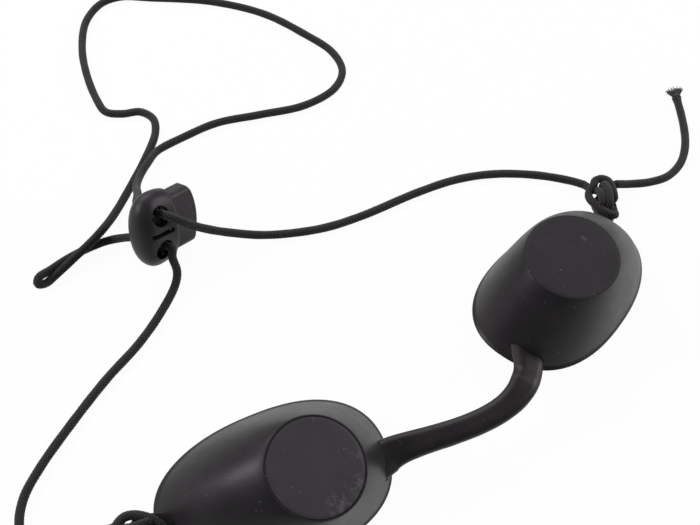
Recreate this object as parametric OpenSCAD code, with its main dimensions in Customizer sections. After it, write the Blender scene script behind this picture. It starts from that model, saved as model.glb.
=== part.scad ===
// Laser safety goggles: two opaque eye cups on a flexible nose bridge, held on the
// head by a thin elastic cord with a two-hole cord lock. They lie on a flat surface as
// they were put down, so the cups lean a little and the cord lies in loose curves.
// Millimetres. X runs from the left cup to the right cup, Y points to the cheek side
// of the cups, Z is up.

/* [Eye cups] */
// Length of a cup's rim, from its nose end to its temple end
cup_length = 49.4; // [46:0.2:53]
// Width of a cup's rim, from the brow edge to the cheek edge
cup_width = 30.4; // [29:0.2:33]
// Height of the middle of the crown above the rim
cup_height = 18.4; // [16.5:0.1:21]
// Thickness of a cup's wall
cup_wall = 1.4; // [1.1:0.1:1.7]
// How much fuller the rim is at the nose end than at the temple end
cup_egg = 0.08; // [0:0.01:0.12]
// Squareness of the rim's outline, 2 for an ellipse
rim_square = 2.3; // [2.1:0.05:2.6]
// How far the bead round the rim stands out
bead_out = 0.35; // [0.1:0.05:0.6]
// Height of the bead round the rim
bead_height = 0.7; // [0.5:0.1:1]
// How far the crown lies towards the nose from the middle of the rim
crown_to_nose = 6.4; // [5.5:0.1:7.2]
// How far the crown lies towards the brow from the middle of the rim
crown_to_brow = 1.6; // [0.8:0.1:2.2]
// Slope of the crown, rising towards the temple, in degrees
crown_tilt = 9; // [6:0.5:11]
// Slope of the crown, rising towards the cheek, in degrees
crown_lean = 3; // [1:0.5:5]

/* [Eye discs] */
// Diameter of the opaque disc set into each crown
disc_diameter = 19.5; // [18.5:0.1:20.2]
// Thickness of the disc
disc_thickness = 1.7; // [1.2:0.1:2]
// How far the disc stands above the crown
disc_proud = 0.15; // [0:0.05:0.4]
// Chamfer round the disc's top edge
disc_chamfer = 0.2; // [0.1:0.05:0.4]
// Gap between the disc and its seat, all round
disc_gap = 0.18; // [0.05:0.01:0.3]
// Width of the crown's lip outside the seat
lip_width = 0.55; // [0.4:0.05:0.8]
// Width of the ledge under the disc's edge
ledge_width = 1.6; // [1.2:0.1:2.2]
// Thickness of the ledge under the disc
ledge_thickness = 1.2; // [1:0.1:1.5]

/* [Cord lugs] */
// Radius of the lug's rounded end
lug_radius = 3; // [2.8:0.1:3.3]
// Thickness of the lug
lug_thickness = 1.4; // [1.2:0.1:1.6]
// Height of the lug's underside above the rim
lug_rise = 2.7; // [2.6:0.1:3.2]
// Width of the slot in the lug
lug_slot_width = 2.2; // [2.1:0.1:2.4]
// Length of the slot in the lug
lug_slot_length = 3.6; // [3:0.1:3.8]
// How far the middle of the left lug lies beyond the rim
left_lug_out = 2.6; // [2.2:0.1:3]
// How far the middle of the left lug lies towards the cheek
left_lug_side = 0.5; // [0:0.1:1]
// How far the middle of the right lug lies beyond the rim, pulled round by the cord
right_lug_out = 1; // [0.8:0.1:1.6]
// How far the middle of the right lug lies towards the cheek
right_lug_side = 4.8; // [4:0.1:5.2]
// Heading of the right lug, turned towards the cheek, in degrees
right_lug_turn = 37; // [30:1:45]

/* [Nose bridge] */
// Width of the bridge where it enters a cup
bridge_width = 7.4; // [6.6:0.1:7.8]
// Width of the bridge at its waist
bridge_waist = 5.2; // [4.6:0.1:6]
// Thickness of the bridge
bridge_thickness = 2.4; // [2:0.1:2.8]
// Width of the bevel along each edge of the bridge
bridge_bevel = 1.1; // [0.6:0.1:1.3]
// Thickness of the barb that holds each end inside its cup
barb_thickness = 4; // [3.6:0.1:4.4]
// Length of that barb
barb_length = 2.2; // [1.6:0.1:2.6]
// Gap between the bridge and its slot, all round
slot_gap = 0.3; // [0.1:0.05:0.45]
// Free length of the slot beside the bridge
slot_spare = 1.6; // [0.6:0.1:2]
// Heading of the bridge as it leaves the left cup, in degrees from X
bridge_heading_left = 3; // [-4:1:10]
// Heading of the bridge as it reaches the right cup, in degrees from X
bridge_heading_right = 56; // [50:1:60]
// How firmly the bridge keeps its heading from the left cup
bridge_pull_left = 23; // [18:1:30]
// How firmly the bridge keeps its heading into the right cup
bridge_pull_right = 52; // [44:1:56]
// Twist of the bridge about its own length at the right cup, in degrees
bridge_twist = 12; // [0:1:15]

/* [Elastic cord] */
// Diameter of the elastic cord
cord_diameter = 2; // [1.7:0.1:2.2]

/* [Cord lock] */
// Length of the lock's body along the line through its two holes
lock_length = 17.5; // [17.2:0.1:18.6]
// Thickness of the lock's body along its holes
lock_thickness = 8.4; // [8.2:0.1:9.4]
// Depth of the body from its open end to the middle of the holes
lock_front = 4.8; // [4.4:0.1:5.6]
// Depth of the body from the middle of the holes to its closed end
lock_back = 5.3; // [5.2:0.1:6]
// Diameter of each cord hole
hole_diameter = 4.7; // [4.5:0.1:4.8]
// Distance between the middles of the two holes
hole_pitch = 8.4; // [8.2:0.1:8.8]
// Length of the button's slide across the body
button_length = 14.4; // [14.2:0.1:14.6]
// Thickness of the button
button_thickness = 4.8; // [4.4:0.1:4.9]
// How far the button's end stands beyond the middle of the holes
button_reach = 12.2; // [11.4:0.1:12.8]
// How far the button can be pressed in
button_travel = 2.5; // [2.2:0.1:2.6]
// Gap between the button and the body, all round
button_gap = 0.2; // [0.1:0.05:0.25]
// Width of the slot between the holes
window_width = 1.1; // [1:0.1:1.3]
// Depth of the grip grooves in the button
groove_depth = 0.15; // [0.1:0.05:0.3]
// Distance between grip grooves
groove_pitch = 0.8; // [0.7:0.05:1]
// Outer diameter of the spring in the lock
spring_diameter = 2.2; // [1.8:0.1:2.3]
// Diameter of the spring's wire
spring_wire = 0.35; // [0.3:0.05:0.4]

/* [How it lies] */
// Distance between the middles of the two rims
cup_spacing = 79.6; // [78:0.2:82]
// Turn of each cup about the vertical, in degrees
cup_toe = 14.3; // [12:0.1:16]
// Lean of the left cup, its brow edge down, in degrees
left_roll = 15; // [11:0.5:17]
// Lean of the left cup, its temple end up, in degrees
left_pitch = -2.5; // [-4:0.5:0]
// Lean of the right cup, its temple end down, in degrees
right_pitch = 8.5; // [6:0.5:10]

/* [Hidden] */
$fn = 64;

// Where the middle of the eyewear's outline lies in the layout below
origin_shift = [-1.18, -1.37, 0];

// Colours
cup_black = [0.16, 0.15, 0.16];
disc_black = [0.20, 0.19, 0.20];
bridge_black = [0.14, 0.13, 0.14];
cord_black = [0.12, 0.11, 0.12];
lock_black = [0.22, 0.21, 0.22];
spring_steel = [0.7, 0.7, 0.72];

// Fineness of the smooth shells
rim_steps = 56;
wall_steps = 9;
lock_steps = 40;

// Derived sizes of a cup
half_length = cup_length/2;
half_width = cup_width/2;
seat_radius = disc_diameter/2 + disc_gap;
crown_radius = seat_radius + lip_width;
seat_depth = disc_thickness - disc_proud;
roof = seat_depth + ledge_thickness;
wall_curve = 1.1;
lug_root = 5.5;
lug_neck = 1.9;
neck_middle = lug_root - lug_neck;
neck_slope = asin((lug_radius - lug_neck)/neck_middle);
function lug_middle(side) = side > 0
    ? [half_length + right_lug_out, right_lug_side, 0]
    : [half_length + left_lug_out, left_lug_side, 0];
function lug_heading(side) = side > 0 ? right_lug_turn : 0;

// Turns about the axes, as matrices
function turn_x(a) = [[1, 0, 0], [0, cos(a), -sin(a)], [0, sin(a), cos(a)]];
function turn_y(a) = [[cos(a), 0, sin(a)], [0, 1, 0], [-sin(a), 0, cos(a)]];
function turn_z(a) = [[cos(a), -sin(a), 0], [sin(a), cos(a), 0], [0, 0, 1]];
function unit(v) = v/norm(v);

// A cup's rim point at angle t, moved outwards by grow
function rim_scale(t) = pow(pow(abs(cos(t)), rim_square) + pow(abs(sin(t)), rim_square), -1/rim_square);
function rim_point(t, grow) = let (s = rim_scale(t), c = cos(t)*s)
    [(half_length + grow)*c, (half_width + grow)*sin(t)*s*(1 - cup_egg*c)];

// The crown's plane, drop below its top, and the round edge on it
function crown_z(p, drop) = cup_height - drop
    + tan(crown_tilt)*(p.x + crown_to_nose) + tan(crown_lean)*(p.y + crown_to_brow);
function crown_point(t, r) =
    [r*cos(t)*cos(crown_tilt) - crown_to_nose, r*sin(t)*cos(crown_lean) - crown_to_brow];

// A point on a cup's wall: f runs from 0 at the rim to 90 at the crown
function wall_point(t, f, grow, r, drop) = let (
        w = pow(max(cos(f), 0), 2/wall_curve),
        v = pow(sin(f), 2/wall_curve),
        p = crown_point(t, r)*(1 - w) + rim_point(t, grow)*w)
    [p.x, p.y, v*crown_z(p, drop)];

function wall_ring(f, grow, r, drop) =
    [for (i = [0:rim_steps - 1]) wall_point(360*i/rim_steps, f, grow, r, drop)];

// Wall angle at which the wall has risen to a small height z
function rise_angle(z) = asin(pow(z/cup_height, wall_curve/2));

function outer_rings() = concat(
    [wall_ring(0, bead_out/2, crown_radius, 0),
     wall_ring(rise_angle(bead_height/4), bead_out, crown_radius, 0),
     wall_ring(rise_angle(bead_height), bead_out, crown_radius, 0),
     wall_ring(rise_angle(bead_height*1.4), 0, crown_radius, 0)],
    [for (i = [2:wall_steps]) wall_ring(90*i/wall_steps, 0, crown_radius, 0)]);

function inner_rings() = concat(
    [[for (p = wall_ring(0, -cup_wall, crown_radius - cup_wall, roof)) [p.x, p.y, -1]]],
    [for (i = [0:wall_steps]) wall_ring(90*i/wall_steps, -cup_wall, crown_radius - cup_wall, roof)]);

// A closed solid through rings of equally many points, lowest ring first
module loft(rings) {
    n = len(rings[0]);
    m = len(rings);
    sides = [for (j = [0:m - 2], i = [0:n - 1], k = [0:1]) let (a = j*n + i, b = j*n + (i + 1)%n)
        k == 0 ? [a, b + n, b] : [a, a + n, b + n]];
    bottom = [for (i = [0:n - 1]) i];
    top = [for (i = [n - 1:-1:0]) (m - 1)*n + i];
    polyhedron([for (r = rings, p = r) p], concat([bottom], [top], sides));
}

// Where a cup stands: side is 1 for the right cup and -1 for the left
function cup_turn(side) = side > 0
    ? turn_z(cup_toe)*turn_y(right_pitch)
    : turn_z(cup_toe)*turn_y(left_pitch)*turn_x(left_roll);
function cup_lift(side) = -min([for (r = outer_rings(), p = r) (cup_turn(side)*p).z]);
function cup_place(side, p) = let (q = cup_turn(side)*p + [cup_spacing/2, 0, cup_lift(side)])
    [side*q.x, q.y, q.z] - origin_shift;
function cup_way(side, v) = let (q = cup_turn(side)*v) [side*q.x, q.y, q.z];

module in_cup(side) {
    translate(-origin_shift)
        mirror([side > 0 ? 0 : 1, 0, 0])
            translate([cup_spacing/2, 0, cup_lift(side)])
                rotate([side > 0 ? 0 : left_roll, side > 0 ? right_pitch : left_pitch, cup_toe])
                    children();
}

// Along the axis of the crown's seat, from the plane that lies drop below the crown
module on_crown(drop) {
    translate([-crown_to_nose, -crown_to_brow, cup_height - drop])
        rotate([crown_lean, -crown_tilt, 0])
            children();
}

// A lug lies along X from the middle of its rounded end
module on_lug(side) {
    translate(lug_middle(side))
        rotate([0, 0, lug_heading(side)])
            children();
}

module lug() {
    translate([0, 0, lug_rise])
        linear_extrude(lug_thickness)
            difference() {
                union() {
                    circle(lug_radius);
                    translate([-neck_middle, 0]) circle(lug_neck);
                    polygon([for (p = [[lug_radius, 0, 1], [lug_neck, neck_middle, 1],
                        [lug_neck, neck_middle, -1], [lug_radius, 0, -1]])
                        [p[0]*sin(neck_slope) - p[1], p[2]*p[0]*cos(neck_slope)]]);
                }
                lug_slot();
            }
}

module lug_slot() {
    reach = (lug_slot_length - lug_slot_width)/2;
    translate([0, reach]) circle(d = lug_slot_width);
    translate([0, -reach]) circle(d = lug_slot_width);
    square([lug_slot_width, 2*reach], center = true);
}

module cup(side) {
    difference() {
        in_cup(side) difference() {
            union() {
                loft(outer_rings());
                on_lug(side) lug();
            }
            loft(inner_rings());
            on_crown(seat_depth) cylinder(h = 2*disc_thickness, r = seat_radius);
            on_crown(roof + 1) cylinder(h = roof + 1, r = seat_radius - ledge_width);
        }
        bridge_slot(side);
    }
}

module left_cup() {
    color(cup_black) cup(-1);
}

module right_cup() {
    color(cup_black) cup(1);
}

module disc(side) {
    r = disc_diameter/2;
    color(disc_black)
        in_cup(side) on_crown(seat_depth) rotate_extrude()
            polygon([[0, 0], [r, 0], [r, disc_thickness - disc_chamfer],
                [r - disc_chamfer, disc_thickness], [0, disc_thickness]]);
}

module left_disc() {
    disc(-1);
}

module right_disc() {
    disc(1);
}

// The bridge's line: it starts in the left cup's wall and ends in the right cup's wall
left_root = cup_place(-1, [-23.6, -2.6, 3.2]);
right_root = cup_place(1, [-23, -4.9, 3.1]);
left_way = [cos(bridge_heading_left), sin(bridge_heading_left), 0];
right_way = [cos(bridge_heading_right), sin(bridge_heading_right), 0];
bridge_steps = 22;
function bridge_point(t) =
    (2*t*t*t - 3*t*t + 1)*left_root + (t*t*t - 2*t*t + t)*bridge_pull_left*left_way
    + (3*t*t - 2*t*t*t)*right_root + (t*t*t - t*t)*bridge_pull_right*right_way;
function bridge_tangent(t) = unit(
    (6*t*t - 6*t)*left_root + (3*t*t - 4*t + 1)*bridge_pull_left*left_way
    + (6*t - 6*t*t)*right_root + (3*t*t - 2*t)*bridge_pull_right*right_way);

// The bridge's face looks the way the cups' crowns do, and turns from one to the other
function bridge_up(t) = let (
        w = bridge_tangent(t),
        n = (1 - t)*cup_way(-1, [0, 0, 1]) + t*cup_way(1, [0, 0, 1]),
        u = unit(n - (n*w)*w),
        a = bridge_twist*t)
    u*cos(a) + cross(w, u)*sin(a);

// One cross-section: the foot is as wide as the bridge, the top is narrower by its bevels
function bridge_section(p, w, u, width, thick) = let (
        s = cross(u, w),
        a = width/2,
        h = thick/2,
        b = bridge_bevel)
    [for (q = [[-a, -h + 0.3], [-a + 0.3, -h], [a - 0.3, -h], [a, -h + 0.3], [a, h - b],
        [a - 0.3*b, h - 0.45*b], [a - b, h - 0.1*b], [a - 1.5*b, h], [-a + 1.5*b, h],
        [-a + b, h - 0.1*b], [-a + 0.3*b, h - 0.45*b], [-a, h - b]])
        p + q.x*s + q.y*u];
function bridge_width_at(t) = bridge_waist
    + (bridge_width - bridge_waist)*pow(abs(2*t - 1), 2.4);

// Past each root the bridge runs straight on, then thickens into its barb
barb_start = cup_wall/2 + 4.8;
barb_width = bridge_width - 3;
function root_sections(end) = let (
        p = end > 0 ? right_root : left_root,
        w = end > 0 ? right_way : left_way,
        u = bridge_up(end > 0 ? 1 : 0))
    [for (q = [[barb_start, bridge_width, bridge_thickness], [barb_start + 0.1, barb_width, barb_thickness],
        [barb_start + 0.6, barb_width, barb_thickness],
        [barb_start + barb_length, barb_width, bridge_thickness*0.8]])
        bridge_section(p + end*q[0]*w, w, u, q[1], q[2])];

module nose_bridge() {
    left_end = root_sections(-1);
    color(bridge_black)
        loft(concat(
            [for (i = [3:-1:0]) left_end[i]],
            [for (i = [0:bridge_steps]) let (t = i/bridge_steps)
                bridge_section(bridge_point(t), bridge_tangent(t), bridge_up(t),
                    bridge_width_at(t), bridge_thickness)],
            root_sections(1)));
}

// The slot in a cup's wall follows the bridge, with spare length on the cheek side
module bridge_slot(side) {
    p = side > 0 ? right_root : left_root;
    w = side > 0 ? right_way : left_way;
    end = side > 0 ? 1 : 0;
    u = bridge_up(end);
    s = cross(u, w);
    wide = bridge_width + 2*slot_gap;
    thick = bridge_thickness + 2*slot_gap;
    near = [for (i = [0:5]) let (t = side > 0 ? 0.7 + 0.06*i : 0.3 - 0.06*i)
        bridge_section(bridge_point(t), bridge_tangent(t), bridge_up(t),
            bridge_width_at(t) + 2*slot_gap, thick)];
    through = bridge_section(p + side*(barb_start + 0.4)*w, w, u, wide, thick);
    loft(side > 0 ? concat(near, [through]) : concat([through], [for (i = [5:-1:0]) near[i]]));
    spare = (s.y > 0 ? 1 : -1)*slot_spare/2;
    multmatrix([[w.x, s.x, u.x, p.x], [w.y, s.y, u.y, p.y], [w.z, s.z, u.z, p.z], [0, 0, 0, 1]])
        translate([0, spare, 0])
            cube([2*barb_start - 0.2, wide + slot_spare, thick - 0.8], center = true);
}

// A tube of eight sides along points, its frame carried along without twist
function way_at(pts, i) = unit(pts[min(i + 1, len(pts) - 1)] - pts[max(i - 1, 0)]);
function across(v, w) = unit(v - (v*w)*w);
function tube_frames(pts) = [for (i = 0, v = across([0.2, 0.1, 1], way_at(pts, 0)); i < len(pts);
    i = i + 1, v = i < len(pts) ? across(v, way_at(pts, i)) : v) v];
function tube_rings(pts, d) = let (f = tube_frames(pts))
    [for (i = [0:len(pts) - 1]) let (w = way_at(pts, i), u = f[i], s = cross(w, u))
        [for (k = [0:7]) pts[i] + d/2*(cos(45*k)*u + sin(45*k)*s)]];

module tube(pts) {
    color(cord_black) loft(tube_rings(pts, cord_diameter));
}

// The lock: x towards its button, y to its back, z along the line through its holes
lock_at = [-27.8, 65.3, 10.7];
lock_turn = [-19.2, 20.6, 12.4];
lock_matrix = turn_z(lock_turn.z)*turn_y(lock_turn.y)*turn_x(lock_turn.x);
function lock_place(p) = lock_matrix*p + lock_at - origin_shift;

module in_lock() {
    translate(lock_at - origin_shift)
        rotate(lock_turn)
            children();
}

// The body's cross-section is a rounded oval, drawn in at both ends
lock_square = 2.2;
lock_dome = 4.4;
lock_lip = 0.7;
function lock_size(x) = x < lock_dome - lock_back
    ? pow(max(1 - pow((lock_dome - lock_back - x)/lock_dome, lock_square), 0), 1/lock_square)
    : x > lock_front - lock_lip
        ? 1 - 0.06*pow((x - lock_front + lock_lip)/lock_lip, 2)
        : 1;
function lock_ring(x, s) = [for (i = [0:lock_steps - 1]) let (
        t = 360*i/lock_steps,
        r = pow(pow(abs(cos(t)), lock_square) + pow(abs(sin(t)), lock_square), -1/lock_square))
    [x, lock_thickness/2*s*cos(t)*r, (lock_thickness/2*s + lock_length/2 - lock_thickness/2)*sin(t)*r]];
function lock_rings() = concat(
    [for (a = [12:13:90]) let (x = -lock_back + lock_dome*(1 - cos(a))) lock_ring(x, lock_size(x))],
    [for (x = [lock_dome - lock_back, lock_front - lock_lip, lock_front - lock_lip/2, lock_front])
        lock_ring(x, lock_size(x))]);

// Outline of the button's slide, across the lock
module slide_outline(length, gap) {
    r = 1.5;
    z = length/2 + gap - r;
    y = button_thickness/2 + gap - r;
    for (a = [-1, 1], b = [-1, 1])
        translate([a*z, b*y]) circle(r, $fn = 32);
    square([2*z, 2*(y + r)], center = true);
    square([2*(z + r), 2*y], center = true);
}

module slide_prism(length, from, to, gap) {
    translate([from, 0, 0])
        rotate([0, 90, 0])
            linear_extrude(to - from)
                slide_outline(length, gap);
}

module cord_holes(x) {
    for (z = [-hole_pitch/2, hole_pitch/2])
        translate([x, 0, z])
            rotate([90, 0, 0])
                cylinder(h = 2*lock_thickness, d = hole_diameter, center = true);
}

// The button's inner end is a shorter tongue, which leaves the body's rounded end thick
tongue_length = 11.2;
cavity_end = -lock_back + 1.4;
slide_end = cavity_end + button_travel + 0.3;
tongue_end = slide_end + 1.2;
window_end = 3.2;

module lock_body() {
    color(lock_black) in_lock() difference() {
        loft(lock_rings());
        slide_prism(tongue_length, cavity_end, lock_front + 1, button_gap);
        slide_prism(button_length, tongue_end - button_travel - 0.3, lock_front + 1, button_gap);
        cord_holes(0);
        window();
    }
}

// The slot between the holes, through the front wall alone
module window() {
    translate([-window_end, -lock_thickness, -window_width/2])
        cube([2*window_end, lock_thickness, window_width]);
}

pocket_end = slide_end + 4.2;
nib_length = 1;
nib_front = lock_thickness/2 - 0.5;

module lock_button() {
    color(lock_black) in_lock() {
        difference() {
            union() {
                intersection() {
                    slide_prism(button_length, tongue_end, button_reach + 1, 0);
                    button_profile();
                }
                slide_prism(tongue_length, slide_end, tongue_end + 0.5, 0);
            }
            cord_holes(button_travel);
            translate([slide_end - 1, 0, 0])
                rotate([0, 90, 0])
                    cylinder(h = pocket_end - slide_end + 1, d = spring_diameter + 0.3);
            for (side = [-1, 1], i = [0:5])
                grip_groove(side, button_reach - 1.1 - i*groove_pitch);
        }
        translate([window_end - button_gap - nib_length, -nib_front, -window_width/2 + 0.15])
            cube([nib_length, nib_front - button_thickness/2 + 0.5, window_width - 0.3]);
    }
}

// Seen from the front the button ends in a shallow arc with rounded corners
crown_r = 17;
module button_profile() {
    rotate([90, 0, 0])
        linear_extrude(2*button_thickness, center = true)
            intersection() {
                translate([button_reach - crown_r, 0]) circle(crown_r, $fn = 96);
                translate([slide_end, -button_length])
                    square([2*button_reach, 2*button_length]);
            }
}

// A groove along the button's face, following its arc; side -1 is the front
groove_width = 0.35;
module grip_groove(side, x) {
    intersection() {
        translate([0, side*(button_thickness/2 - groove_depth + 1), 0])
            rotate([90, 0, 0])
                linear_extrude(2, center = true)
                    difference() {
                        translate([x + groove_width/2 - crown_r, 0]) circle(crown_r, $fn = 96);
                        translate([x - groove_width/2 - crown_r, 0]) circle(crown_r, $fn = 96);
                    }
        translate([0, -lock_thickness, -button_length/2 + 1.6])
            cube([2*button_reach, 2*lock_thickness, button_length - 3.2]);
    }
}

// The spring: an open coil from the closed end of the body to the pocket in the button
spring_turns = 6;
spring_side_steps = 10;
module lock_spring() {
    n = spring_turns*spring_side_steps;
    r = (spring_diameter - spring_wire)/2;
    from = cavity_end + spring_wire/2 + 0.02;
    to = pocket_end - spring_wire/2 - 0.02;
    rings = [for (i = [0:n]) let (a = 360*i/spring_side_steps, x = from + (to - from)*i/n)
        [for (k = [5:-1:0]) let (q = r + spring_wire/2*cos(60*k))
            [x + spring_wire/2*sin(60*k), q*cos(a), q*sin(a)]]];
    color(spring_steel) in_lock() loft(rings);
}

// The eye of cord through a lug, and the knot behind it, in the cup's own place
cord_gap = 0.12;
cord_half = cord_diameter/2 - 0.05;

// A rod of cord between two points, with round ends
module rod(a, b) {
    v = b - a;
    translate(a)
        rotate([0, acos(v.z/norm(v)), atan2(v.y, v.x)])
            cylinder(h = norm(v), r = cord_half, $fn = 24);
    translate(a) sphere(cord_half, $fn = 24);
    translate(b) sphere(cord_half, $fn = 24);
}

module ring(r) {
    rotate_extrude($fn = 48) translate([r, 0]) circle(cord_half, $fn = 24);
}

// From the slot one pass of the cord runs under the lug and one over it, into the knot
knot_middle = lug_radius + 3.2;
module knot() {
    low = lug_rise - cord_gap - cord_half;
    high = lug_rise + lug_thickness + cord_gap + cord_half;
    mid = (low + high)/2 + 0.65;
    edge = lug_radius + cord_gap + cord_half;
    rod([0, 0, low], [0, 0, high]);
    rod([0, 0, low], [edge, 0, low]);
    rod([0, 0, high], [edge, 0, high]);
    rod([edge, 0, low], [edge, 0, high]);
    translate([knot_middle, 0, mid]) {
        rotate([0, -38, 0]) ring(2.65);
        translate([0.6, -0.3, 0.4]) rotate([24, 20, 0]) ring(1.75);
        rotate([90, 0, 0]) cylinder(h = 4.2, r = 1.5, center = true, $fn = 24);
    }
}

// The end of a stretch of cord, from the knot to its face at p, square to the way to q
module cord_end(p, q, face_gap) {
    v = unit(p - q);
    translate(p + face_gap*v)
        rotate([0, acos(v.z), atan2(v.y, v.x)])
            cylinder(h = 3.6, r = cord_half, $fn = 24);
}

module right_knot() {
    color(cord_black) {
        in_cup(1) on_lug(1) knot();
        cord_end(laid(tail_route)[0], laid(tail_route)[1], 0);
        cord_end(laid(right_route)[0], laid(right_route)[1], 0.15);
    }
}

module left_knot() {
    last = len(left_route) - 1;
    color(cord_black) {
        in_cup(-1) on_lug(-1) rotate([0, 0, -3]) {
            knot();
            translate([knot_middle, 0, lug_rise + 1]) rotate([95, 0, 20]) cylinder(h = 6, r = cord_half, $fn = 24);
        }
        cord_end(laid(left_route)[last], laid(left_route)[last - 1], 0);
    }
}

// The cord's routes, ring by ring along its middle, from the right cup's knot round
// through the lock and back to the left cup's knot
tail_route = [[71.2, 14.4, 2.4], [74.8, 12.8, 1.3], [78.8, 10.6, 1.1], [83.6, 9.1, 1.1], [88.6, 9.8, 1.1],
    [92.8, 12.1, 1.1], [96.4, 15.4, 1.1], [100.4, 20.5, 1.1], [103.4, 25.4, 1.6]];
right_route = [[65.3, 19.2, 1.8], [63.8, 22.4, 1.2], [58.4, 28.7, 1.1], [50.5, 35.1, 1.1], [42, 39.4, 1.1],
    [32, 42.1, 1.1], [17, 44.7, 1.1], [8, 47.2, 1.1], [0, 51, 1.2], [-6, 54.1, 2.2],
    [-11.5, 56.9, 4.6], [-16, 58.6, 7.8], [-20, 60, 11.6]];
loop_out = [[-24.6, 77.2, 8.6], [-22.6, 82, 5.2], [-19.4, 85.8, 3.3], [-16.2, 88, 2.8], [-12, 90.8, 1.4],
    [-4, 90.8, 1.1], [5, 89.6, 1.1], [15, 85.4, 1.1], [26, 81, 1.1], [35.4, 80.9, 1.1],
    [40.8, 84.6, 1.1], [42.6, 91.5, 1.1], [40.6, 101, 1.1], [36, 114, 1.1], [27, 126.5, 1.1],
    [15, 137.2, 1.1], [8.4, 142.6, 1.1], [3, 143.6, 1.1]];
loop_back = [[-3.5, 140.4, 1.1], [-9.2, 132.8, 1.1], [-13, 124, 1.1], [-15.4, 114.5, 1.1],
    [-15.6, 109.6, 1.1], [-12.6, 106.6, 1.1], [-8.6, 104.4, 1.1], [-7.2, 100.4, 1.1], [-9.2, 96.2, 1.1],
    [-14.5, 91.5, 1.1], [-22.5, 85.8, 1.1], [-30.5, 80.4, 1.6], [-35.6, 76.9, 3.4],
    [-39.8, 75.4, 3.4], [-44.5, 74.8, 2.2], [-50, 73.5, 1.1]];
loop_fold = [[-53, 73, 1.4], [-54.6, 73.4, 2.6], [-53.6, 74.5, 3.2], [-50.4, 76, 1.8]];
loop_in = [[-46, 76.8, 1.1], [-40, 76.1, 1.1], [-34.6, 74.8, 1.2]];
left_route = [[-27, 58.8, 6.2], [-27.6, 56.4, 3.9], [-29.4, 54.8, 1.8], [-36, 50.8, 1.1], [-44, 47, 1.1],
    [-54.5, 43.6, 1.1], [-67, 38.4, 1.1], [-76, 34.1, 1.1], [-82, 30.2, 1.1], [-85.6, 25.4, 1.1],
    [-86.6, 19.6, 1.3], [-84.2, 13.4, 3.2], [-79.8, 10, 6.1], [-76.4, 8.6, 8]];

// Inside the lock the cord runs straight, on the side of each hole nearest the button
pinch_x = hole_diameter/2 - cord_diameter/2 - 0.1;
function lock_cord(y, z) = lock_place([pinch_x, y, z*hole_pitch/2]) + origin_shift;
function laid(pts) = [for (p = pts) p - origin_shift];

module right_tail() {
    tube(laid(tail_route));
}

module right_strand() {
    tube(laid(concat(right_route, [lock_cord(-lock_thickness/2 - 0.5, 1), lock_cord(0, 1)])));
}

module back_loop() {
    tube(laid(concat([lock_cord(0.05, 1), lock_cord(lock_thickness/2 + 0.8, 1)], loop_out, loop_back,
        loop_fold, loop_in, [lock_cord(lock_thickness/2 + 0.8, -1), lock_cord(0.05, -1)])));
}

module left_strand() {
    tube(laid(concat([lock_cord(0, -1), lock_cord(-lock_thickness/2 - 0.5, -1)], left_route)));
}

left_cup();
right_cup();
left_disc();
right_disc();
nose_bridge();
lock_body();
lock_button();
lock_spring();
right_tail();
right_knot();
right_strand();
back_loop();
left_strand();
left_knot();
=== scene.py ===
"""Laser safety goggles on a pale floor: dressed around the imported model, millimetres turned into metres."""
import math
import random

import bmesh
import bpy
import numpy as np
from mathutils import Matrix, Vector
from mathutils.noise import noise


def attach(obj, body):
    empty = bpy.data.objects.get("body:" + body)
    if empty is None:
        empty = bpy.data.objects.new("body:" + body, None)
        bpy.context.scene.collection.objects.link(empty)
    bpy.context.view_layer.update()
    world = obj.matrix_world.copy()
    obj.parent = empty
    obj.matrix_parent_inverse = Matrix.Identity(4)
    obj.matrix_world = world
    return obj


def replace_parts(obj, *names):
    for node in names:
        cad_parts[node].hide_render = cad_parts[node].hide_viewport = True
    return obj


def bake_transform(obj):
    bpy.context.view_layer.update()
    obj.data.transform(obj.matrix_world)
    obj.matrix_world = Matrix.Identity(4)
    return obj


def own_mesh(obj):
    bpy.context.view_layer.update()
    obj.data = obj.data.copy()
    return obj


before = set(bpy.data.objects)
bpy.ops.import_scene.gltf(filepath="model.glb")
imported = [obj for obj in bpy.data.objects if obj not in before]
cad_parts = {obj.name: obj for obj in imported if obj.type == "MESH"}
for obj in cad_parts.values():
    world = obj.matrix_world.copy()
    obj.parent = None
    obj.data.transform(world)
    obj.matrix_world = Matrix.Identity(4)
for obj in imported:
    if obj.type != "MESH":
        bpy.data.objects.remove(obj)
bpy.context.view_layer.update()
MM = 0.001
rng = random.Random(7)


# ---------------------------------------------------------------- camera
def add_camera():
    data = bpy.data.cameras.new("camera")
    data.lens, data.sensor_width = 59.9, 36.0  # mm, fitted with the place and the axes to the photo
    data.clip_start, data.clip_end = 0.01, 20.0
    camera = bpy.data.objects.new("camera", data)
    bpy.context.scene.collection.objects.link(camera)
    right = Vector((0.79864, -0.60182, 0.0))
    up = Vector((0.50589, 0.67134, 0.54171))
    forward = Vector((0.32602, 0.43264, -0.84057))
    for i, axis in enumerate((right, up, -forward)):
        for j in range(3):
            camera.matrix_world[j][i] = axis[j]
    camera.matrix_world.translation = Vector((-80.82, -80.33, 229.5))*MM
    bpy.context.scene.camera = camera


add_camera()


# ---------------------------------------------------------------- mesh helpers
def new_object(name, mesh):
    obj = bpy.data.objects.new(name, mesh)
    bpy.context.scene.collection.objects.link(obj)
    return obj


def mesh_object(name, points, faces, sharp=40.0, uv=None):
    """Points are in millimetres, sharp is in degrees, and uv has one pair for each corner of each face."""
    mesh = bpy.data.meshes.new(name)
    mesh.from_pydata([tuple(p) for p in points], [], [tuple(f) for f in faces])
    if uv is not None:
        layer = mesh.uv_layers.new(name="route")
        layer.data.foreach_set("uv", np.array(uv, np.float32).ravel())
    mesh.update()
    obj = new_object(name, mesh)
    shade(obj, sharp)
    return obj


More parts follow.
